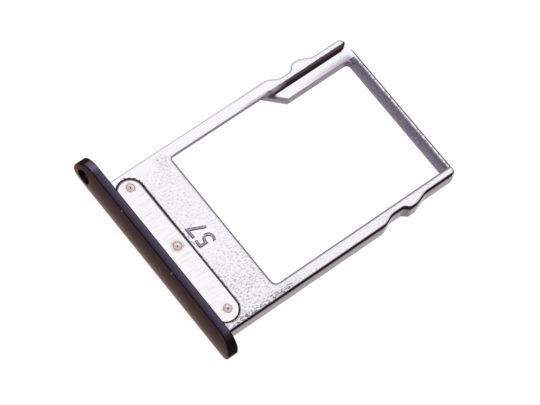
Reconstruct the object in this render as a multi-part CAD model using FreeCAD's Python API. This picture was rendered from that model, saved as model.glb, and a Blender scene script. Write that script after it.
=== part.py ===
# Memory card tray of a phone: a cast metal frame round an open card window, a curved face plate
# with a flat tongue behind it, and three weld spots that hold the tongue in the frame's recess.
# Millimetres. +X runs along the face plate, +Y is the way the tray slides in, +Z is up.
# The origin is under the middle of the whole tray, level with the plate's lower edge.
import FreeCAD, Part
import math
import os

# The card that the tray carries
card_width = 11.0
card_length = 15.0
card_key_depth = 1.3
card_play = 0.12

# Frame
left_notch_wall = 0.08
right_notch_wall = 0.38
tray_thickness = 1.5
web_length = 4.26
lip_thickness = 0.48
left_lip = 0.27
right_lip = 0.10
near_lip = 1.25
window_corner = 0.35
edge_round = 0.14

# Leading end: a low bar across the front, and the block that fills the card's narrow corner
bar_thickness = 0.63
bar_left_corner = 1.15
bar_right_corner = 0.5
rim_width = 0.20
rim_round = 0.06
bar_slope_drop = 0.42
shelf_drop = 0.77
block_length = 4.95
block_clearance = 0.08
block_corner = 0.3
shelf_rail_extra = 0.16

# Catch outline of each rail, measured back from the tip of the right nose
nose_setback = 0.28
left_nose_setback = 0.38
nose_run = 2.45
slope_run = 0.90
crest_run = 0.57
step_run = 0.30
notch_run = 0.98
entry_run = 0.65
left_notch_depth = 0.40
right_notch_depth = 0.31
wave_radius = 1.0
step_radius = 0.38
left_nose_round = 0.34
right_nose_round = 0.28
shelf_nose_round = 0.15

# Face plate
plate_length = 15.82
plate_height = 2.7
band_thickness = 0.56
crown = 0.26
front_round = 0.10
back_break = 0.06
plate_shift = 0.585
pin_hole_diameter = 1.1
pin_hole_inset = 1.02
pin_hole_rise = 0.2

# Tongue behind the plate, and the recess that takes it
tongue_width = 11.30
tongue_reach = 1.66
tongue_root = 0.04
tongue_thickness = 0.7
tongue_drop = 0.05
tongue_gap = 0.10

# Weld spots: fused plugs through the tongue into the frame, each with a raised ring round a crater
left_weld_inset = 0.60
middle_weld_offset = -0.22
right_weld_inset = 0.77
weld_from_plate = 0.99
weld_diameter = 0.58
weld_root_diameter = 0.34
weld_depth = 1.05
weld_ring_height = 0.05
crater_diameter = 0.24
crater_depth = 0.09

# How far a cutting shape runs past the faces it opens
cut_past = 1.0

# Points and edges nearer than this count as one
same_point = 1e-6

# Places worked out from the sizes
pocket_width = card_width + card_play
pocket_length = card_length + card_play
window_width = pocket_width - left_lip - right_lip
window_length = pocket_length - near_lip
overall_length = crown + band_thickness + web_length + window_length + bar_thickness

plate_front = -overall_length / 2
plate_back = plate_front + crown + band_thickness
window_near = plate_back + web_length
bar_face = window_near + window_length
bar_end = bar_face + bar_thickness
nose_tip = bar_end - nose_setback
left_nose_tip = bar_end - left_nose_setback

window_left = plate_shift - window_width / 2
window_right = plate_shift + window_width / 2
pocket_left = window_left - left_lip
pocket_right = window_right + right_lip
pocket_near = window_near - near_lip
nose_left = pocket_left - left_notch_wall
nose_right = pocket_right + right_notch_wall
tray_left = nose_left - left_notch_depth
tray_right = nose_right + right_notch_depth

block_width = card_key_depth - block_clearance
block_edge = pocket_left + block_width
block_slope_end = bar_face - block_length
block_slope_start = block_slope_end - block_width
shelf_rail = window_left + shelf_rail_extra

tray_bottom = (plate_height - tray_thickness) / 2
tray_top = tray_bottom + tray_thickness
lip_bottom = tray_top - lip_thickness
shelf_level = tray_top - shelf_drop
plate_middle = plate_height / 2

tongue_left = plate_shift - tongue_width / 2
tongue_right = plate_shift + tongue_width / 2
tongue_top = tray_top - tongue_drop
recess_floor = tongue_top - tongue_thickness
weld_line = plate_back + weld_from_plate
weld_root = tongue_top - weld_depth
weld_places = [
    tongue_left + left_weld_inset,
    plate_shift + middle_weld_offset,
    tongue_right - right_weld_inset,
]


# A closed outline in the XY plane from corners (x, y, radius), with an arc in each rounded corner
def outline(corners):
    points = [FreeCAD.Vector(x, y, 0) for x, y, radius in corners]
    edges = []
    run_start = None
    first_point = None
    for i in range(len(points)):
        here = points[i]
        back = (points[i - 1] - here).normalize()
        ahead = (points[(i + 1) % len(points)] - here).normalize()
        radius = corners[i][2]
        arc_start = here
        arc_end = here
        if radius > 0:
            half_angle = back.getAngle(ahead) / 2
            arc_start = here + back * (radius / math.tan(half_angle))
            arc_end = here + ahead * (radius / math.tan(half_angle))
            to_centre = (back + ahead).normalize()
            arc_middle = here + to_centre * (radius / math.sin(half_angle) - radius)
        if run_start is None:
            first_point = arc_start
        elif run_start.distanceToPoint(arc_start) > same_point:
            edges.append(Part.makeLine(run_start, arc_start))
        if radius > 0:
            edges.append(Part.Arc(arc_start, arc_middle, arc_end).toShape())
        run_start = arc_end
    if run_start.distanceToPoint(first_point) > same_point:
        edges.append(Part.makeLine(run_start, first_point))
    return Part.Wire(edges)


# A flat solid with that outline, from one height to another
def slab(corners, low, high):
    face = Part.Face(outline(corners))
    face.translate(FreeCAD.Vector(0, 0, low))
    return face.extrude(FreeCAD.Vector(0, 0, high - low))


# The outer edge of a rail from the plate to the start of its nose: straight, then notch, crest and slope
def rail_edge(straight_x, notch_x):
    slope_end = nose_tip - nose_run
    crest_end = slope_end - slope_run
    crest_start = crest_end - crest_run
    notch_end = crest_start - step_run
    notch_start = notch_end - notch_run
    entry = notch_start - entry_run
    return [
        (straight_x, plate_back, 0),
        (straight_x, entry, wave_radius),
        (notch_x, notch_start, wave_radius),
        (notch_x, notch_end, step_radius),
        (straight_x, crest_start, step_radius),
        (straight_x, crest_end, wave_radius),
        (notch_x, slope_end, wave_radius),
    ]


# The tongue's round-ended outline, or that of its recess, grown outwards by a gap
def tongue_outline(gap):
    left = tongue_left - gap
    right = tongue_right + gap
    near = plate_back - tongue_root - gap
    far = plate_back + tongue_reach + gap
    radius = (far - near) / 2
    return [(left, near, radius), (left, far, radius), (right, far, radius), (right, near, radius)]


# The edges of a shape that lie level at one height and whose middle passes a test
def level_edges(shape, height, test):
    chosen = []
    for edge in shape.Edges:
        box = edge.BoundBox
        if abs(box.ZMin - height) < same_point and abs(box.ZMax - height) < same_point:
            middle = edge.valueAt((edge.FirstParameter + edge.LastParameter) / 2)
            if test(middle):
                chosen.append(edge)
    return chosen


# The outside of both rails, their noses, and the rail's edge above the shelf
def on_rail_edge(point):
    outside = point.x < window_left - same_point or point.x > window_right + same_point
    on_nose = point.y > left_nose_tip - shelf_nose_round
    beside_shelf = abs(point.x - shelf_rail) < same_point and point.y > block_slope_end
    return (outside or on_nose or beside_shelf) and point.y > plate_back + same_point


# The outer edge of the bar's rim
def on_rim_edge(point):
    return point.y > bar_end - same_point


# The two rails and the web between them, full height
def rails_and_web():
    slope_at_lip = block_slope_start + left_lip
    slope_at_shelf_rail = slope_at_lip + shelf_rail_extra
    corners = rail_edge(tray_left, nose_left)
    corners += [
        (nose_left, left_nose_tip, left_nose_round),
        (shelf_rail, left_nose_tip, shelf_nose_round),
        (shelf_rail, slope_at_shelf_rail, 0),
        (window_left, slope_at_lip, 0),
        (window_left, window_near, window_corner),
        (window_right, window_near, window_corner),
        (window_right, nose_tip, 0),
        (nose_right, nose_tip, right_nose_round),
    ]
    corners += reversed(rail_edge(tray_right, nose_right))
    return slab(corners, tray_bottom, tray_top)


# The low bar and the corner block, with the sloped face that leads the card in over the bar
def bar_and_block():
    side_start = nose_tip - nose_run / 2
    corners = [
        (pocket_left, block_slope_start, 0),
        (pocket_left, side_start, 0),
        (nose_left, side_start, 0),
        (nose_left, bar_end, bar_left_corner),
        (nose_right, bar_end, bar_right_corner),
        (nose_right, side_start, 0),
        (window_right, side_start, 0),
        (window_right, bar_face, 0),
        (block_edge, bar_face, block_corner),
        (block_edge, block_slope_end, 0),
    ]
    low_part = slab(corners, tray_bottom, shelf_level)
    low_part = low_part.makeFillet(rim_round, level_edges(low_part, shelf_level, on_rim_edge))
    rim_edge = bar_end - rim_width
    slope = [
        FreeCAD.Vector(block_edge, rim_edge, shelf_level),
        FreeCAD.Vector(block_edge, bar_face, shelf_level - bar_slope_drop),
        FreeCAD.Vector(block_edge, bar_face, shelf_level),
    ]
    wedge = Part.Face(Part.makePolygon(slope + slope[:1]))
    wedge = wedge.extrude(FreeCAD.Vector(window_right - block_edge, 0, 0))
    return low_part.cut(wedge)


# The space under the lips that the card lies in, open below, with the card's narrow corner left solid
def card_pocket():
    corners = [
        (pocket_left, pocket_near, 0),
        (pocket_left, block_slope_start, 0),
        (block_edge, block_slope_end, 0),
        (block_edge, bar_face, block_corner),
        (pocket_right, bar_face, 0),
        (pocket_right, pocket_near, 0),
    ]
    return slab(corners, tray_bottom - cut_past, lip_bottom)


# A weld spot as turned about its axis: a tapered plug, a raised ring, and a crater in the middle
def weld_spot(x):
    ring = weld_diameter / 2
    crater = crater_diameter / 2
    ring_top = tongue_top + weld_ring_height
    profile = [
        (0, weld_root),
        (weld_root_diameter / 2, weld_root),
        (ring, tongue_top),
        ((ring + crater) / 2, ring_top),
        (crater, tongue_top),
        (0, ring_top - crater_depth),
    ]
    points = [FreeCAD.Vector(x + radius, weld_line, z) for radius, z in profile]
    section = Part.Face(Part.makePolygon(points + points[:1]))
    return section.revolve(FreeCAD.Vector(x, weld_line, 0), FreeCAD.Vector(0, 0, 1), 360)


# The tapered space that a weld spot fills in the tongue and the frame
def weld_space(x):
    foot = FreeCAD.Vector(x, weld_line, weld_root)
    up = FreeCAD.Vector(0, 0, 1)
    return Part.makeCone(weld_root_diameter / 2, weld_diameter / 2, weld_depth, foot, up)


def make_frame():
    frame = rails_and_web().fuse(bar_and_block()).cut(card_pocket()).removeSplitter()
    frame = frame.makeFillet(edge_round, level_edges(frame, tray_top, on_rail_edge))
    frame = frame.cut(slab(tongue_outline(tongue_gap), recess_floor, tray_top + cut_past))
    for x in weld_places:
        frame = frame.cut(weld_space(x))
    return frame.Solids[0]


# The plate: a round-ended outline seen from the front, with a front face that curves from top to bottom
def curved_plate():
    half_length = plate_length / 2
    radius = plate_height / 2
    corners = [
        (-half_length, 0, radius),
        (-half_length, plate_height, radius),
        (half_length, plate_height, radius),
        (half_length, 0, radius),
    ]
    plate = slab(corners, -plate_back, -plate_front)
    plate.rotate(FreeCAD.Vector(0, 0, 0), FreeCAD.Vector(1, 0, 0), 90)
    front_radius = (radius ** 2 + crown ** 2) / (2 * crown)
    front_axis = FreeCAD.Vector(-half_length, plate_front + front_radius, plate_middle)
    plate = plate.common(Part.makeCylinder(front_radius, plate_length, front_axis, FreeCAD.Vector(1, 0, 0)))
    front_edges = [edge for edge in plate.Edges if edge.BoundBox.YMax < plate_back - band_thickness + same_point]
    plate = plate.makeFillet(front_round, front_edges)
    back_edges = [edge for edge in plate.Edges if edge.BoundBox.YMin > plate_back - same_point]
    return plate.makeChamfer(back_break, back_edges)


def make_face_plate():
    plate = curved_plate().fuse(slab(tongue_outline(0), recess_floor, tongue_top))
    for x in weld_places:
        plate = plate.cut(weld_space(x))
    hole_level = plate_middle + pin_hole_rise
    hole_mouth = FreeCAD.Vector(pin_hole_inset - plate_length / 2, plate_back + cut_past, hole_level)
    hole_depth = plate_back - plate_front + 2 * cut_past
    hole = Part.makeCylinder(pin_hole_diameter / 2, hole_depth, hole_mouth, FreeCAD.Vector(0, -1, 0))
    return plate.cut(hole).Solids[0]


pieces = {
    "tray_frame": make_frame(),
    "face_plate": make_face_plate(),
    "weld_spots": Part.makeCompound([weld_spot(x) for x in weld_places]),
}
os.makedirs("parts", exist_ok=True)
for name, shape in pieces.items():
    shape.exportStep("parts/" + name + ".step")
    box = shape.BoundBox
    print(name, len(shape.Solids), "solids", round(shape.Volume, 3), "mm3, valid", shape.isValid())
    print("   from", [round(v, 3) for v in (box.XMin, box.YMin, box.ZMin)],
          "to", [round(v, 3) for v in (box.XMax, box.YMax, box.ZMax)])
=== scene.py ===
import math
from types import SimpleNamespace
import bmesh
import bpy
from mathutils import Matrix, Vector


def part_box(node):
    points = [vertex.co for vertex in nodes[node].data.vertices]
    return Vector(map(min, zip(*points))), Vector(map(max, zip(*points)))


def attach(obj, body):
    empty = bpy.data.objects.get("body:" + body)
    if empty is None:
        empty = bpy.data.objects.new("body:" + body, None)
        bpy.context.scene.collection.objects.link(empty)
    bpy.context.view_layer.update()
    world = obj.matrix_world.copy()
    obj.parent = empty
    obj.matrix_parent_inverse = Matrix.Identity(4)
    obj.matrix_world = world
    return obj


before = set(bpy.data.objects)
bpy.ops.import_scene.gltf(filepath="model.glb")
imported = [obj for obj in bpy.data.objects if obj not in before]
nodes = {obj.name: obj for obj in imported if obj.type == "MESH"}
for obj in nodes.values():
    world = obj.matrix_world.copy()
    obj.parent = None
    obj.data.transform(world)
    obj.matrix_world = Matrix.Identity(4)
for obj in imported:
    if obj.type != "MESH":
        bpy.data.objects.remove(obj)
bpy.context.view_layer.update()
mm = 0.001


# A node's box in millimetres
def boxInMm(node):
    low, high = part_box(node)
    return Vector(low) / mm, Vector(high) / mm


trayLow, trayHigh = boxInMm("tray_frame")
plateLow, plateHigh = boxInMm("face_plate")
weldLow, weldHigh = boxInMm("weld_spots")
plateBack = trayLow.y
trayTop = trayHigh.z
weldLine = (weldLow.y + weldHigh.y) / 2
weldRadius = (weldHigh.y - weldLow.y) / 2
weldShift = 0.085  # how far left of the tongue's middle the outer two weld spots are centred
middleWeldShift = 0.22
trayMiddle = (weldLow.x + weldHigh.x) / 2 + weldShift
weldPlaces = [weldLow.x + weldRadius, trayMiddle - middleWeldShift, weldHigh.x - weldRadius]
print("frame loaded:", ", ".join(sorted(nodes)))


# A shader socket that takes part in Python sums
class Signal:
    def __init__(self, tree, socket):
        self.tree = tree
        self.socket = socket

    def node(self, kind, settings, inputs, output=0):
        made = self.tree.nodes.new(kind)
        for name, value in settings.items():
            setattr(made, name, value)
        fillSockets(self.tree, made, inputs)
        return Signal(self.tree, made.outputs[output])

    def math(self, operation, *values):
        return self.node("ShaderNodeMath", {"operation": operation}, dict(enumerate(values)))

    def __add__(self, other):
        return self.math("ADD", self, other)

    __radd__ = __add__

    def __sub__(self, other):
        return self.math("SUBTRACT", self, other)

    def __rsub__(self, other):
        return self.math("SUBTRACT", other, self)

    def __mul__(self, other):
        return self.math("MULTIPLY", self, other)

    __rmul__ = __mul__

    def __abs__(self):
        return self.math("ABSOLUTE", self)

    def atLeast(self, other):
        return self.math("MAXIMUM", self, other)

    def atMost(self, other):
        return self.math("MINIMUM", self, other)

    def root(self):
        return self.math("SQRT", self)

    # 0 at one value and 1 at the other, eased between them
    def ease(self, start, end):
        settings = {"interpolation_type": "SMOOTHSTEP"}
        return self.node("ShaderNodeMapRange", settings, {"Value": self, "From Min": start, "From Max": end})

    # One colour where the signal is 0, the other where it is 1
    def blend(self, low, high):
        return self.node("ShaderNodeMix", {"data_type": "RGBA"}, {0: self, 6: low, 7: high}, 2)


def fillSockets(tree, node, inputs):
    for name, value in inputs.items():
        if isinstance(value, Signal):
            tree.links.new(value.socket, node.inputs[name])
        else:
            node.inputs[name].default_value = value


def rgb(red, green, blue):
    return (red, green, blue, 1)


def split(vector):
    apart = vector.tree.nodes.new("ShaderNodeSeparateXYZ")
    vector.tree.links.new(vector.socket, apart.inputs[0])
    return [Signal(vector.tree, apart.outputs[i]) for i in range(3)]


# A point of the surface: its place in millimetres, and the way it faces
def readSurface(tree):
    coordinates = Signal(tree, tree.nodes.new("ShaderNodeTexCoord").outputs["Object"])
    inputs = {0: coordinates, "Scale": 1 / mm}
    at = SimpleNamespace()
    at.place = coordinates.node("ShaderNodeVectorMath", {"operation": "SCALE"}, inputs)
    at.x, at.y, at.z = split(at.place)
    at.shape = at.place.node("ShaderNodeNewGeometry", {}, {}, "Normal")
    at.faceX, at.faceY, at.faceZ = split(at.shape)
    return at


# A new material with its tree and shader
def startFinish(name):
    material = bpy.data.materials.new(name)
    material.use_nodes = True
    tree = material.node_tree
    return material, tree, tree.nodes["Principled BSDF"]


# Noise with features about 1 / scale millimetres wide, stretched by a factor along each axis
def noise(place, scale, detail=2.0, stretch=(1, 1, 1), shift=(0, 0, 0)):
    moved = place.node("ShaderNodeMapping", {}, {0: place, "Location": shift, "Scale": stretch})
    inputs = {"Vector": moved, "Scale": scale, "Detail": detail, "Roughness": 0.55}
    return place.node("ShaderNodeTexNoise", {}, inputs)


# One direction where the factor is 0, the other where it is 1
def lean(place, factor, low, high):
    return place.node("ShaderNodeMix", {"data_type": "VECTOR"}, {0: factor, 4: low, 5: high}, 1)


# Distance in the XY plane from a round-ended bar that lies along X
def fromBar(x, y, bar):
    beyond = (abs(x - bar["x"]) - bar["halfLength"]).atLeast(0)
    across = y - bar["y"]
    return (beyond * beyond + across * across).root() - bar["radius"]


# Distance outwards from a rectangle with rounded corners, open at its far end
def fromWindow(x, y, window):
    across = abs(x - window["x"]) - window["halfWidth"] + window["corner"]
    along = window["near"] + window["corner"] - y
    beyond = across.atLeast(0)
    before = along.atLeast(0)
    return (beyond * beyond + before * before).root() - window["corner"]


def fromPoint(x, y, centre):
    across = x - centre[0]
    along = y - centre[1]
    return (across * across + along * along).root()


# A dull surface in each mask's colour, laid over the shader in order
def addDull(tree, shader, layers):
    surface = Signal(tree, shader.outputs[0])
    for mask, colour in layers:
        dull = mask.node("ShaderNodeBsdfDiffuse", {}, {"Color": colour})
        surface = mask.node("ShaderNodeMixShader", {}, {0: mask, 1: surface, 2: dull})
    fillSockets(tree, tree.nodes["Material Output"], {"Surface": surface})


def setFinish(node, material):
    mesh = nodes[node].data
    mesh.materials.clear()
    mesh.materials.append(material)


tongue = {
    "reach": 1.66,
    "root": 0.04,
    "halfWidth": 5.65,
    "top": trayTop - 0.05,
}
tongue["radius"] = (tongue["reach"] + tongue["root"]) / 2
tongueBar = {
    "x": trayMiddle,
    "y": plateBack - tongue["root"] + tongue["radius"],
    "halfLength": tongue["halfWidth"] - tongue["radius"],
    "radius": tongue["radius"],
}

window = {
    "x": trayMiddle,
    "halfWidth": 5.375,
    "near": plateBack + 4.26,
    "corner": 0.35,
}

# Unless a note says otherwise, a pair is a place, or the values where a mask is 0 and where it is full
castSteel = {
    "bright": rgb(0.955, 0.94, 0.975),
    "fleck": rgb(0.40, 0.37, 0.43),
    "wornDark": rgb(0.24, 0.20, 0.26),
    "recessShade": rgb(0.150, 0.105, 0.115),  # painted shade in the recess round the tongue, at its upper edge and inside
    "recessFloorShade": rgb(0.55, 0.41, 0.43),
    "wallFootShade": rgb(0.050, 0.032, 0.036),  # painted shade on the wall between the left rail and the shelf, from its foot up
    "wallHeadShade": rgb(0.115, 0.088, 0.096),
    "wallEndShade": rgb(0.42, 0.37, 0.43),
    "nookShade": rgb(0.11, 0.09, 0.11),
    "cornerShade": rgb(0.40, 0.36, 0.44),
    "cornerWall": rgb(0.21, 0.17, 0.23),
    # painted dark reflection down the right rail, along the bar's outer edge and on the left nose
    "band": rgb(0.034, 0.021, 0.031),
    "shadedSide": rgb(0.182, 0.135, 0.142),  # painted shade on walls that face right or forward, and a lighter tone on the rest
    "otherSide": rgb(0.66, 0.64, 0.67),
    "innerShade": rgb(0.185, 0.155, 0.190),  # painted shade on walls that look into the window, from their heads down
    "innerFootShade": rgb(0.27, 0.21, 0.225),
    # painted shade on the left rail's inner wall, the block's wall and the bar's face
    "railWallShade": rgb(0.088, 0.066, 0.090),
    "blockWallShade": rgb(0.128, 0.104, 0.128),
    "barWallShade": rgb(0.090, 0.076, 0.100),
    # painted shade along the shelf's edges by the block
    "shelfEdgeShade": rgb(0.26, 0.225, 0.285),
    # painted shade along the upper edges round the window and the left rail's wave, and by the digits
    "edgeShade": rgb(0.035, 0.025, 0.032),
    "rimShade": rgb(0.45, 0.42, 0.47),
    # painted shade on the bar's slope, darker at its head than at its foot
    "slopeHeadShade": rgb(0.280, 0.258, 0.325),
    "slopeFootShade": rgb(0.500, 0.468, 0.585),
    "shelfShade": rgb(0.50, 0.455, 0.56),
    "roughness": 0.22,
    "grainScale": 10.0,
    "grainTone": (0.58, 0.24),
    "grainDepth": 0.024,
    "railGrain": 0.45,
    "slopeGrain": 3.2,
    "fleckStrength": (0.34, 1.04),  # at the left and the right end of the web
    "fleckSpan": (0.5, 5.0),  # distance right of the middle
    "smoothLeft": (0.35, 1.5),  # distance from the left edge
    "smoothDigits": (0.7, 1.2),
    "webEnd": (window["near"] + 0.41, window["near"] - 0.29),
    "topSkin": (trayTop - 0.03, trayTop - 0.005),
    "topRound": (trayTop - 0.22, trayTop - 0.16),
    "edgeRound": 0.20,
    "windowLine": (0.17, 0.05),  # distance from the window
    "windowEdge": 0.60,  # how dark that line is, and the thin one along the left side
    "leftEdge": 0.30,
    "leftRail": (4.8, 5.0),  # distance left of the middle
    "waveStart": (trayHigh.y - 9.29, trayHigh.y - 7.79),
    "rightBand": (-0.62, -0.30),  # height from the top of the right wall, for the painted dark reflection
    "rightRail": trayHigh.x - 0.75,
    "wornEdge": (0.70, 0.15),  # distance from the right edge
    "wornFar": (window["near"] + 2.11, window["near"] + 0.51),
    "wornNear": (plateBack + 0.27, plateBack + 0.77),
    "wornCorner": (trayLow.x + 0.79, window["near"] - 0.59),
    "gapEdge": (0.120, 0.100),  # distance from the tongue
    "gapRagged": 0.10,
    "shelfWall": trayLow.x + 0.91,
    "shelfNear": trayHigh.y - 6.54,
    "shelfEdge": trayLow.x + 1.70,
    "shelfLevel": trayTop - 0.77,
    "shelfTilt": (0.196, 0, 0.981),  # the way the shelf shines
    "shelfSpot": (trayLow.x + 1.24, trayHigh.y - 0.98),
    "shelfDim": (trayHigh.y - 5.29, trayHigh.y - 0.79),
    "slantEnd": trayHigh.y - 5.58,  # where the block's slanted end meets its long side
    "barFace": trayHigh.y - 0.63,
    "rim": trayHigh.y - 0.20,
    "rimLine": (trayHigh.y - 0.125, trayHigh.y - 0.085),
    "leftNose": (trayLow.x + 0.90, trayHigh.y - 0.42),
    "digits": (trayMiddle + 0.02, plateBack + 2.70),
    "padRadius": 0.83,
}


# A point of the frame, with its place on the top, the rails, the shelf and the bar
def readFrame(tree):
    made = castSteel
    at = readSurface(tree)
    at.onTop = at.z.ease(*made["topSkin"])
    at.nearTop = at.z.ease(*made["topRound"])
    at.onSide = abs(at.faceZ).ease(0.65, 0.45)
    at.onLeft = (trayMiddle - at.x).ease(*made["leftRail"])
    at.onWave = at.onLeft * at.y.ease(*made["waveStart"])
    at.overShelf = at.z - made["shelfLevel"]
    at.pastShelf = at.y - made["shelfNear"]
    at.fromEdge = at.x - made["shelfEdge"]
    underShelfTop = at.overShelf.ease(0.03, 0.01)
    atShelf = at.overShelf.ease(-0.05, -0.01) * underShelfTop
    at.onShelf = atShelf * at.pastShelf.ease(-0.2, 0) * at.faceZ.ease(0.8, 0.95)
    at.atRim = at.overShelf.ease(-0.3, -0.1) * underShelfTop
    onSlope = at.faceZ.ease(0.85, 0.78) * at.faceZ.ease(0.55, 0.62)
    onSlope = onSlope * at.y.ease(made["barFace"] - 0.02, made["barFace"])
    onSlope = onSlope * at.fromEdge.ease(-0.02, 0) * at.overShelf.ease(0.01, 0)
    at.onSlope = onSlope * at.y.ease(made["rim"] - 0.03, made["rim"] - 0.06)
    at.grain = noise(at.place, made["grainScale"], 2.0, stretch=(1, 0.5, 1))
    at.ragged = noise(at.place, 6.0, 3.0, shift=(0, 5, 2)).ease(0.45, 0.75) * made["gapRagged"]
    return at


# How coarse the cast grain is: full on the web, less on the rails, none on the left edge and by the digits
def grainStrength(at):
    made = castSteel
    digitY = made["digits"][1]
    onWeb = at.y.ease(*made["webEnd"])
    awayFromLeft = (at.x - trayLow.x).ease(*made["smoothLeft"])
    awayFromDigits = fromPoint(at.x, (at.y - digitY) * 1.3 + digitY, made["digits"])
    rough = onWeb * (1 - made["railGrain"]) + made["railGrain"]
    return rough * awayFromLeft * awayFromDigits.ease(*made["smoothDigits"]) * at.onTop


def grainFlecks(at, coarse):
    made = castSteel
    calm, strong = made["fleckStrength"]
    strength = (at.x - trayMiddle).ease(*made["fleckSpan"]) * (strong - calm) + calm
    patches = noise(at.place, 0.8, 1.0)
    return (at.grain + (patches - 0.5) * 0.12).ease(*made["grainTone"]) * coarse * strength


# Worn speckle in short streaks by the right edge of the web, and by the window's left corner
def wornSpeckle(at):
    made = castSteel
    streaks = noise(at.place, 13.0, 2.0, stretch=(1, 0.5, 1), shift=(3, 1, 0))
    byEdge = (trayHigh.x - at.x).ease(*made["wornEdge"]) * at.onTop
    byEdge = byEdge * at.y.ease(*made["wornFar"]) * at.y.ease(*made["wornNear"])
    byCorner = fromPoint(at.x, at.y, made["wornCorner"]).ease(0.8, 0.2) * at.onTop
    worn = (streaks + byEdge * 0.10).ease(0.55, 0.65) * byEdge
    worn = worn + (streaks + byCorner * 0.05).ease(0.50, 0.66) * byCorner * 0.45
    return worn.atMost(1)


# Painted shade: thin dark lines round the window, along the left rail's wave, and by the digits
def edgeShadeLines(at):
    made = castSteel
    aroundWindow = fromWindow(at.x, at.y, window).ease(*made["windowLine"]) * at.faceZ.ease(0.9, 0.95)
    aroundWindow = aroundWindow * (at.x - window["x"] + window["halfWidth"]).ease(-0.1, 0.3)
    alongWave = at.faceZ.ease(0.97, 0.6) * at.onWave
    lines = (aroundWindow * made["windowEdge"] + alongWave * made["leftEdge"]) * at.nearTop
    digitX, digitY = made["digits"]
    pad = {"x": digitX, "y": digitY, "halfLength": 0.05, "radius": made["padRadius"]}
    padLine = abs(fromBar(at.x, at.y, pad)).ease(0.05, 0.02) * at.grain.ease(0.62, 0.50) * at.onTop
    padLine = padLine * (at.x - digitX).ease(0.7, 0.3) * (at.y - digitY).ease(0.2, -0.1)
    return (lines + padLine * 0.55).atMost(1)


# What faces up: flecked metal, painted shade on the shelf and along its edges by the block, painted glints
# and shade along the bar's rim, and painted shade on its slope
def upperColour(at, flecks):
    made = castSteel
    barFace = made["barFace"]
    shade = abs(at.fromEdge + 0.05).ease(0.50, 0.05) * at.y.ease(*made["shelfDim"])
    shade = shade * at.y.ease(made["rim"], barFace) * 0.95
    spot = fromPoint(at.x, at.y, made["shelfSpot"]).ease(0.08, 0.03) * 0.7
    fromSlant = (at.y - made["slantEnd"] - at.fromEdge) * math.sqrt(0.5)
    shelfEdgeShade = fromSlant.atMost(-1 * at.fromEdge).ease(0.10, 0.03) * at.onShelf
    shelfEdgeShade = shelfEdgeShade * at.y.ease(barFace, barFace - 0.3)
    onRim = at.y.ease(made["rim"] - 0.06, made["rim"] - 0.03) * at.atRim * at.fromEdge.ease(0, 0.4)
    # painted glints: bright grains along the bar's rim, with painted shade between them
    rimGlints = noise(at.place, 9.0, 2.0, stretch=(1, 0.2, 0.2), shift=(7, 0, 0)).ease(0.40, 0.54)
    upSlope = at.y.ease(barFace, made["rim"] - 0.12) * 0.6 + 0.15
    upSlope = upSlope + (at.grain - 0.5) * made["slopeGrain"]
    colour = flecks.blend(made["bright"], made["fleck"])
    colour = ((shade + spot).atMost(1) * at.onShelf).blend(colour, made["shelfShade"])
    colour = shelfEdgeShade.blend(colour, made["shelfEdgeShade"])
    colour = (onRim * (1 - rimGlints)).blend(colour, made["rimShade"])
    return at.onSlope.blend(colour, upSlope.blend(made["slopeFootShade"], made["slopeHeadShade"]))


# Painted shade on the walls: those that look into the window, and the outer ones
def wallColour(at):
    made = castSteel
    inner = at.overShelf.ease(-0.15, -0.55).blend(made["innerShade"], made["innerFootShade"])
    onRail = (trayMiddle - at.x).ease(4.0, 4.5) * at.pastShelf.ease(0, -0.3)
    railHead = at.z.ease(trayTop - 0.20, trayTop - 0.13)
    inner = onRail.blend(inner, railHead.blend(made["railWallShade"], made["bright"]))
    onBlock = abs(at.faceY).ease(0.5, 0.2) * at.pastShelf.ease(0.2, 0.4)
    inner = onBlock.blend(inner, made["blockWallShade"])
    dim = at.faceX.ease(-0.3, 0.1) * at.faceY.ease(0.7, 0.3)
    outer = dim.blend(made["otherSide"], made["shadedSide"])
    onBar = at.faceY.ease(-0.6, -0.9) * at.y.ease(made["barFace"] - 0.15, made["barFace"] - 0.05)
    outer = onBar.blend(outer, made["barWallShade"])
    inward = (trayHigh.x - at.x).ease(0.76, 0.82) * at.faceX.ease(-0.2, 0.3)
    return inward.blend(outer, inner)


# Normals, softened along the upper edges and tilted on the shelf, with the grain on top
def frameNormal(at, coarse):
    made = castSteel
    softEdge = at.place.node("ShaderNodeBevel", {"samples": 8}, {"Radius": made["edgeRound"] * mm})
    soften = at.nearTop * (1 - (at.onLeft - at.onWave) * 0.5)
    shape = lean(at.place, soften, at.shape, softEdge)
    shape = lean(at.place, at.onShelf, shape, made["shelfTilt"])
    return at.place.node("ShaderNodeBump", {}, {
        "Strength": 1.0, "Distance": made["grainDepth"] * mm, "Height": at.grain * coarse, "Normal": shape})


# Painted shade in the recess round the tongue, with a ragged far edge, lighter at its right end
def recessShadeLayers(at):
    made = castSteel
    wide = (at.x - trayMiddle).ease(0.5, -2.5)
    inGap = (fromBar(at.x, at.y, tongueBar) - at.ragged + wide * 0.01).ease(*made["gapEdge"])
    inGap = inGap * (at.x - trayLow.x).ease(0.2, 0.3)
    inGap = inGap * (1 - (at.x - trayMiddle - tongue["halfWidth"]).ease(-0.9, 0) * 0.3)
    inside = inGap * at.z.ease(trayTop - 0.02, trayTop - 0.07) * (1 - wide * 0.45)
    return [(inGap, made["recessShade"]), (inside, made["recessFloorShade"])]


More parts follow.
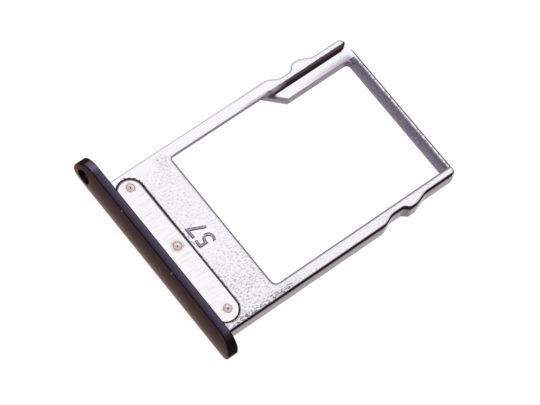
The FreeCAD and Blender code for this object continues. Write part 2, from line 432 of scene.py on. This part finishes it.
# Painted shade on the wall between the left rail and the shelf, and in the nook at its near end
def shelfWallShadeLayers(at):
    made = castSteel
    fromWall = at.x - made["shelfWall"]
    onWall = (fromWall + at.ragged * 0.4).ease(-0.135, -0.105) * fromWall.ease(0.02, 0.01)
    onWall = onWall * at.pastShelf.ease(0, 0.2) * at.overShelf.ease(-0.12, 0) * (1 - at.onShelf)
    foot = fromWall.ease(0.075, 0.035) * at.onShelf * (made["leftNose"][1] - at.y).ease(0.10, 0.28)
    head = (at.overShelf + at.ragged).ease(0.46, 0.60)
    nearEnd = at.pastShelf.ease(1.5, 0.4) * at.overShelf.ease(0.20, 0.45)
    inNook = fromPoint(fromWall, at.pastShelf, (0, 0.25)).ease(0.42, 0.12)
    inNook = inNook * at.overShelf.ease(0.30, 0.05) * at.overShelf.ease(-0.42, -0.12)
    return [
        ((onWall + foot).atMost(1), made["wallFootShade"]),
        (onWall * head, made["wallHeadShade"]),
        (onWall * nearEnd, made["wallEndShade"]),
        (inNook * 0.9, made["nookShade"]),
    ]


# Shade in the corner where the shelf, the block and the bar meet
def cornerLayers(at):
    made = castSteel
    barFace = made["barFace"]
    besideBar = at.y.ease(barFace - 0.02, barFace + 0.02)
    inCorner = at.faceX.ease(0.7, 0.9) * besideBar * abs(at.fromEdge).ease(0.08, 0.04)
    inCorner = inCorner + at.onSlope * at.fromEdge.ease(0.45, 0.05) * 0.7
    byShelf = fromPoint(at.fromEdge, at.y, (0.10, barFace)).ease(0.34, 0.08) * at.onShelf
    byBlock = fromPoint(at.fromEdge, at.y, (0, barFace)).ease(0.60, 0.15)
    byBlock = byBlock * at.onSide * at.overShelf.ease(0, -0.05)
    return [
        (inCorner.atMost(1), made["cornerShade"]),
        (byShelf * 0.8, made["cornerShade"]),
        (byBlock * 0.8, made["cornerWall"]),
    ]


# Painted dark reflection: a broad dark band down the right rail, a line along the bar's outer edge, and the
# left nose
def darkReflectionLayers(at):
    made = castSteel
    height = noise(at.place, 2.5, 3.0, stretch=(1, 1, 0.2)) * 0.12 + at.z - trayTop - 0.06
    band = height.ease(*made["rightBand"]) * at.faceZ.ease(0.86, 0.72)
    band = band * (at.x - made["rightRail"]).ease(0, 0.05) * at.faceX.ease(-0.5, -0.1)
    rimLine = at.y.ease(*made["rimLine"]) * at.atRim * (at.fromEdge.ease(-1.2, 0) * 0.45 + 0.45)
    onNose = fromPoint(at.x, at.y, made["leftNose"]).ease(0.24, 0.12) * at.nearTop
    return [((band + rimLine + onNose).atMost(1), made["band"])]


def makeCastSteel():
    made = castSteel
    material, tree, shader = startFinish("castSteel")
    at = readFrame(tree)
    coarse = grainStrength(at)
    flecks = grainFlecks(at, coarse)
    colour = at.onSide.blend(upperColour(at, flecks), wallColour(at))
    colour = edgeShadeLines(at).blend(colour, made["edgeShade"])
    colour = wornSpeckle(at).blend(colour, made["wornDark"])
    fillSockets(tree, shader, {
        "Base Color": colour,
        "Metallic": 1.0,
        "Roughness": made["roughness"] + flecks * 0.1,
        "Normal": frameNormal(at, coarse),
    })
    addDull(tree, shader, recessShadeLayers(at) + shelfWallShadeLayers(at) + cornerLayers(at) + darkReflectionLayers(at))
    return material


blackPlate = {
    "coat": rgb(0.029, 0.018, 0.019),
    "coatWorn": rgb(0.034, 0.021, 0.022),
    # painted sheen on the coat's top face, from front to back
    "topSheenFront": rgb(0.040, 0.028, 0.046),
    "topSheenBack": rgb(0.094, 0.076, 0.118),
    # painted shade on the tongue's sides and along its edge
    "tongueSideShade": rgb(0.36, 0.27, 0.29),
    "tongueEdgeShade": rgb(0.16, 0.11, 0.12),
    # painted highlight on the rounded left shoulder of the coat
    "wearAndHighlight": rgb(0.24, 0.21, 0.28),
    # painted shade on the plate's edges, ends and in the pin hole
    "blackShade": rgb(0.008, 0.006, 0.008),
    "grazing": rgb(0.90, 0.73, 0.70),
    "bandDepth": (plateBack - 0.60, plateBack - 0.05),
    "leftShoulder": plateLow.x + 1.25,
    "pinHole": (plateLow.x + 1.02, (plateLow.z + plateHigh.z) / 2 + 0.2),
    "pinHoleRadius": 0.55,
    "bare": rgb(0.965, 0.95, 0.975),
    "brushed": rgb(0.76, 0.715, 0.755),
    "halo": [rgb(0.62, 0.47, 0.40), rgb(0.42, 0.36, 0.24), rgb(0.60, 0.45, 0.40)],
    "haloReach": [0.44, 0.54, 0.38],
    "haloCore": 0.22,
    "chip": rgb(0.55, 0.50, 0.50),
    "chips": [(-3.32, 0.24, 0.045), (-0.33, 0.15, 0.05), (1.78, 0.22, 0.055)],  # x, depth, radius
    "coatRoughness": 0.34,
    "bareRoughness": 0.26,
    "grainDepth": 0.004,
}


# The coat: a painted sheen as a paler band along the top, and a painted highlight at the left shoulder
def coatColour(at):
    made = blackPlate
    coat = noise(at.place, 1.2, 2.0).ease(0.35, 0.7).blend(made["coat"], made["coatWorn"])
    band = at.y.ease(*made["bandDepth"]).blend(made["topSheenFront"], made["topSheenBack"])
    coat = at.faceZ.ease(0.93, 0.99).blend(coat, band)
    shoulder = (at.x - made["leftShoulder"]).ease(0.35, -0.1)
    shoulder = shoulder * at.faceZ.ease(0.80, 0.90) * at.faceY.ease(-0.3, -0.1)
    return (shoulder * 0.8).blend(coat, made["wearAndHighlight"])


# Fine brush lines across the tongue, and a heat tint round each weld spot
def tongueColour(at, lines):
    made = blackPlate
    bare = lines.ease(0.52, 0.75).blend(made["bare"], made["brushed"])
    smoke = noise(at.place, 3.5, 2.0, shift=(1, 2, 3))
    for weldX, tint, reach in zip(weldPlaces, made["halo"], made["haloReach"]):
        away = fromPoint(at.x, at.y, (weldX, weldLine)) + (smoke - 0.5) * 0.45
        bare = (away.ease(reach, made["haloCore"]) * 0.75).blend(bare, tint)
    return bare


def chipMask(at):
    chips = []
    for chipX, depth, radius in blackPlate["chips"]:
        away = fromPoint(at.x, at.y, (chipX, plateLow.y + depth))
        chips.append(away.ease(radius, radius * 0.4))
    return sum(chips) * at.z.ease(plateHigh.z - 0.30, plateHigh.z - 0.20)


# Painted shade: black edges, ends and pin hole, the tongue's sides and a darker strip along its edge,
# stronger to the left; and chips along the front's upper edge
def plateLayers(at, onTongue):
    made = blackPlate
    backEdge = at.faceY.ease(0.2, 0.5) * at.faceZ.ease(0.1, 0.3)
    frontEdge = at.faceZ.ease(0.50, 0.62) * at.faceZ.ease(0.97, 0.90) * at.faceY.ease(-0.2, -0.4)
    onEnds = abs(at.faceX).ease(0.45, 0.60) * abs(at.faceY).ease(0.5, 0.3) * at.faceZ.ease(-0.3, 0.2)
    holeEdge = made["pinHoleRadius"]
    inHole = fromPoint(at.x, at.z, made["pinHole"]).ease(holeEdge + 0.02, holeEdge - 0.01)
    blackShade = (backEdge + frontEdge + onEnds * 0.85 + inHole).atMost(1) * (1 - onTongue)
    onSide = at.z.ease(tongue["top"] - 0.015, tongue["top"] - 0.03)
    atEdge = fromBar(at.x, at.y, tongueBar).ease(-0.09, -0.05) * (at.x - trayMiddle).ease(1.5, -2.5)
    return [
        (blackShade, made["blackShade"]),
        (onTongue * onSide, made["tongueSideShade"]),
        (onTongue * atEdge * 0.8, made["tongueEdgeShade"]),
        (chipMask(at) * 0.45, made["chip"]),
    ]


def makeBlackPlate():
    made = blackPlate
    material, tree, shader = startFinish("blackPlate")
    at = readSurface(tree)
    onTongue = at.y.ease(plateBack - 0.01, plateBack + 0.01)
    grain = noise(at.place, 16.0, 2.0)
    lines = noise(at.place, 1.0, 3.0, stretch=(13, 0.7, 1))
    height = grain * (1 - onTongue) + lines * onTongue * 0.3
    bumped = at.place.node("ShaderNodeBump", {}, {
        "Strength": 0.5, "Distance": made["grainDepth"] * mm, "Height": height})
    fillSockets(tree, shader, {
        "Base Color": onTongue.blend(coatColour(at), tongueColour(at, lines)),
        "Metallic": 1.0,
        "Roughness": made["coatRoughness"] + onTongue * (made["bareRoughness"] - made["coatRoughness"]),
        "Specular Tint": made["grazing"],
        "Normal": bumped,
    })
    addDull(tree, shader, plateLayers(at, onTongue))
    return material


weldMetal = {
    "ring": rgb(0.68, 0.53, 0.54),
    "dark": rgb(0.08, 0.055, 0.06),
    "pale": rgb(0.93, 0.86, 0.87),
    "outline": rgb(0.17, 0.11, 0.11),
    "roughness": 0.30,
    "flattened": 0.65,  # how far the ring's slopes shine as if level
    "craterRadius": 0.085,
    "bumpDepth": 0.02,
}


def makeWeldMetal():
    made = weldMetal
    material, tree, shader = startFinish("weldMetal")
    at = readSurface(tree)
    mottle = noise(at.place, 6.0, 3.0)
    away = fromPoint(at.x, at.y, (weldPlaces[0], weldLine))
    for weldX in weldPlaces[1:]:
        away = away.atMost(fromPoint(at.x, at.y, (weldX, weldLine)))
    colour = mottle.ease(0.4, 0.65).blend(made["ring"], made["pale"])
    inCrater = (away + (mottle - 0.5) * 0.06).ease(made["craterRadius"], made["craterRadius"] - 0.04)
    colour = inCrater.blend(colour, made["dark"])
    outer = (away + (mottle - 0.5) * 0.08).ease(weldRadius - 0.07, weldRadius - 0.01)
    colour = (outer * 0.8).blend(colour, made["outline"])
    shape = lean(at.place, made["flattened"], at.shape, (0, 0, 1))
    bumped = at.place.node("ShaderNodeBump", {}, {
        "Strength": 0.4, "Distance": made["bumpDepth"] * mm, "Height": mottle, "Normal": shape})
    fillSockets(tree, shader, {
        "Base Color": colour,
        "Metallic": 1.0 - inCrater * 0.8,
        "Roughness": made["roughness"] + mottle * 0.1,
        "Normal": bumped,
    })
    return material


setFinish("tray_frame", makeCastSteel())
setFinish("face_plate", makeBlackPlate())
setFinish("weld_spots", makeWeldMetal())
print("finishes set on", len(nodes), "pieces")

cavityDigits = {
    "text": "57",
    "size": 1.75,
    "place": castSteel["digits"],
    "roughness": 0.35,
    "layers": [  # name, how far the strokes are widened, their height, their colour
        # the widened strokes under the raised ones are a dark sheet of painted shadow round them
        ("digitShadows", 0.018, 0.030, rgb(0.055, 0.042, 0.050)),
        ("digitTops", -0.022, 0.050, rgb(0.36, 0.32, 0.37)),
    ],
}


# Raised strokes, bright only where they are rubbed
def makeDigitFinish(name, dark):
    material, tree, shader = startFinish(name)
    wearAndHighlight = noise(readSurface(tree).place, 6.0, 2.0).ease(0.58, 0.68)
    fillSockets(tree, shader, {
        "Base Color": wearAndHighlight.blend(dark, castSteel["bright"]),
        "Metallic": wearAndHighlight * 0.9 + 0.1,
        "Roughness": cavityDigits["roughness"],
    })
    return material


def addDigits(name, spread, height, colour):
    made = cavityDigits
    curve = bpy.data.curves.new(name + "Curve", "FONT")
    curve.body = made["text"]
    curve.size = made["size"] * mm
    curve.offset = spread * mm
    curve.extrude = height * mm
    curve.align_x = "CENTER"
    curve.align_y = "CENTER"
    lettering = bpy.data.objects.new(name + "Curve", curve)
    bpy.context.scene.collection.objects.link(lettering)
    bpy.context.view_layer.update()
    mesh = bpy.data.meshes.new_from_object(lettering.evaluated_get(bpy.context.evaluated_depsgraph_get()))
    bpy.data.objects.remove(lettering)
    bpy.data.curves.remove(curve)
    centre = Vector((made["place"][0], made["place"][1], trayTop)) * mm
    mesh.transform(Matrix.Translation(centre) @ Matrix.Rotation(math.pi, 4, "Z"))
    piece = bpy.data.objects.new(name, mesh)
    bpy.context.scene.collection.objects.link(piece)
    mesh.materials.clear()
    mesh.materials.append(makeDigitFinish(name, colour))
    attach(piece, "root")


for layer in cavityDigits["layers"]:
    addDigits(*layer)
print("cavity digits added")

studio = {
    "floorRadius": 3.0,
    "floorGlow": 0.90,  # how bright the floor looks by itself, and the grey that shows its shadows
    "floorShade": rgb(0.22, 0.22, 0.22),
    "floorBounce": rgb(0.88, 0.88, 0.88),
    "boxSize": 0.5,
    "boxPlace": (-0.05, 0.08, 0.30),
    "boxRadiance": 0.98,
    "boxColour": (1.0, 0.985, 1.0),
    "fill": 0.35,
    "screenRadius": 0.42,
    "screenLow": 0.012,
    "screenHigh": 0.46,
    "screens": [  # name, first and last angle, colour
        ("screenRight", -60, 60, rgb(0.40, 0.385, 0.40)),
        ("screenBack", 60, 130, rgb(0.40, 0.385, 0.41)),
        ("screenLeft", 130, 225, rgb(0.45, 0.435, 0.46)),
        ("screenFront", 225, 300, rgb(0.40, 0.385, 0.41)),
    ],
}


# 1 for rays that show the background: from the camera, or by way of metal or glass
def seenDirectly(tree):
    path = tree.nodes.new("ShaderNodeLightPath")
    names = ("Is Camera Ray", "Is Glossy Ray", "Is Transmission Ray")
    return sum(Signal(tree, path.outputs[name]) for name in names).atMost(1)


def startStageFinish(name):
    material = bpy.data.materials.new(name)
    material.use_nodes = True
    tree = material.node_tree
    tree.nodes.remove(tree.nodes["Principled BSDF"])
    return material, tree, tree.nodes["Material Output"]


def addStage(name, builder, material):
    mesh = bpy.data.meshes.new(name)
    builder.to_mesh(mesh)
    builder.free()
    mesh.materials.append(material)
    piece = bpy.data.objects.new(name, mesh)
    bpy.context.scene.collection.objects.link(piece)
    return piece


def addFloor():
    builder = bmesh.new()
    bmesh.ops.create_circle(builder, cap_ends=True, segments=64, radius=studio["floorRadius"])
    material, tree, output = startStageFinish("paleFloor")
    direct = seenDirectly(tree)
    glow = direct.node("ShaderNodeEmission", {}, {"Color": rgb(1, 1, 1), "Strength": studio["floorGlow"]})
    shaded = direct.node("ShaderNodeBsdfDiffuse", {}, {"Color": studio["floorShade"]})
    white = direct.node("ShaderNodeAddShader", {}, {0: glow, 1: shaded})
    plain = direct.node("ShaderNodeBsdfDiffuse", {}, {"Color": studio["floorBounce"]})
    surface = direct.node("ShaderNodeMixShader", {}, {0: direct, 1: plain, 2: white})
    fillSockets(tree, output, {"Surface": surface})
    addStage("floor", builder, material)


# Grey screens round the table, hidden from the camera, give the metal's edges darker reflections
def addScreens():
    for name, start, end, colour in studio["screens"]:
        builder = bmesh.new()
        foot = builder.verts.new((studio["screenRadius"], 0, studio["screenLow"]))
        head = builder.verts.new((studio["screenRadius"], 0, studio["screenHigh"]))
        edge = builder.edges.new((foot, head))
        turn = Matrix.Rotation(math.radians(start), 3, "Z")
        bmesh.ops.rotate(builder, verts=builder.verts, matrix=turn)
        sweep = math.radians(end - start)
        bmesh.ops.spin(builder, geom=[foot, head, edge], axis=(0, 0, 1), angle=sweep, steps=16)
        material, tree, output = startStageFinish(name)
        glow = tree.nodes.new("ShaderNodeEmission")
        glow.inputs["Color"].default_value = colour
        tree.links.new(glow.outputs[0], output.inputs["Surface"])
        screen = addStage(name, builder, material)
        screen.visible_camera = False
        screen.visible_shadow = False


def addSoftbox():
    size = studio["boxSize"]
    lamp = bpy.data.lights.new("softbox", "AREA")
    lamp.shape = "SQUARE"
    lamp.size = size
    lamp.color = studio["boxColour"]
    lamp.energy = math.pi * size * size * studio["boxRadiance"]
    softbox = bpy.data.objects.new("softbox", lamp)
    softbox.location = studio["boxPlace"]
    softbox.visible_camera = False
    softbox.visible_glossy = False
    bpy.context.scene.collection.objects.link(softbox)


def addWorld():
    world = bpy.data.worlds.new("studio")
    world.use_nodes = True
    bpy.context.scene.world = world
    tree = world.node_tree
    strength = seenDirectly(tree) * (1 - studio["fill"]) + studio["fill"]
    fillSockets(tree, tree.nodes["Background"], {"Color": rgb(1, 1, 1), "Strength": strength})


addFloor()
addScreens()
addSoftbox()
addWorld()
print("studio lit")

camera = {
    "azimuth": 38.39,
    "elevation": 64.66,
    "roll": 14.96,
    "aim": (trayMiddle + 0.782, -1.484, trayTop),
    "distance": 207.47,
    "focalPixels": 3333,
    "imageWidth": 540,
    "sensor": 36,
}


def addCamera():
    lens = bpy.data.cameras.new("camera")
    lens.sensor_fit = "HORIZONTAL"
    lens.sensor_width = camera["sensor"]
    lens.lens = camera["focalPixels"] / camera["imageWidth"] * camera["sensor"]
    lens.clip_start = 0.01
    lens.clip_end = 20
    turn = Matrix.Rotation(math.radians(camera["azimuth"]), 4, "Z")
    turn = turn @ Matrix.Rotation(math.radians(90 - camera["elevation"]), 4, "X")
    turn = turn @ Matrix.Rotation(math.radians(camera["roll"]), 4, "Z")
    back = turn @ Vector((0, 0, camera["distance"]))
    eye = bpy.data.objects.new("camera", lens)
    eye.matrix_world = Matrix.Translation((Vector(camera["aim"]) + back) * mm) @ turn
    bpy.context.scene.collection.objects.link(eye)
    bpy.context.scene.camera = eye


addCamera()
bpy.context.scene.view_settings.view_transform = "Standard"
print("camera placed")
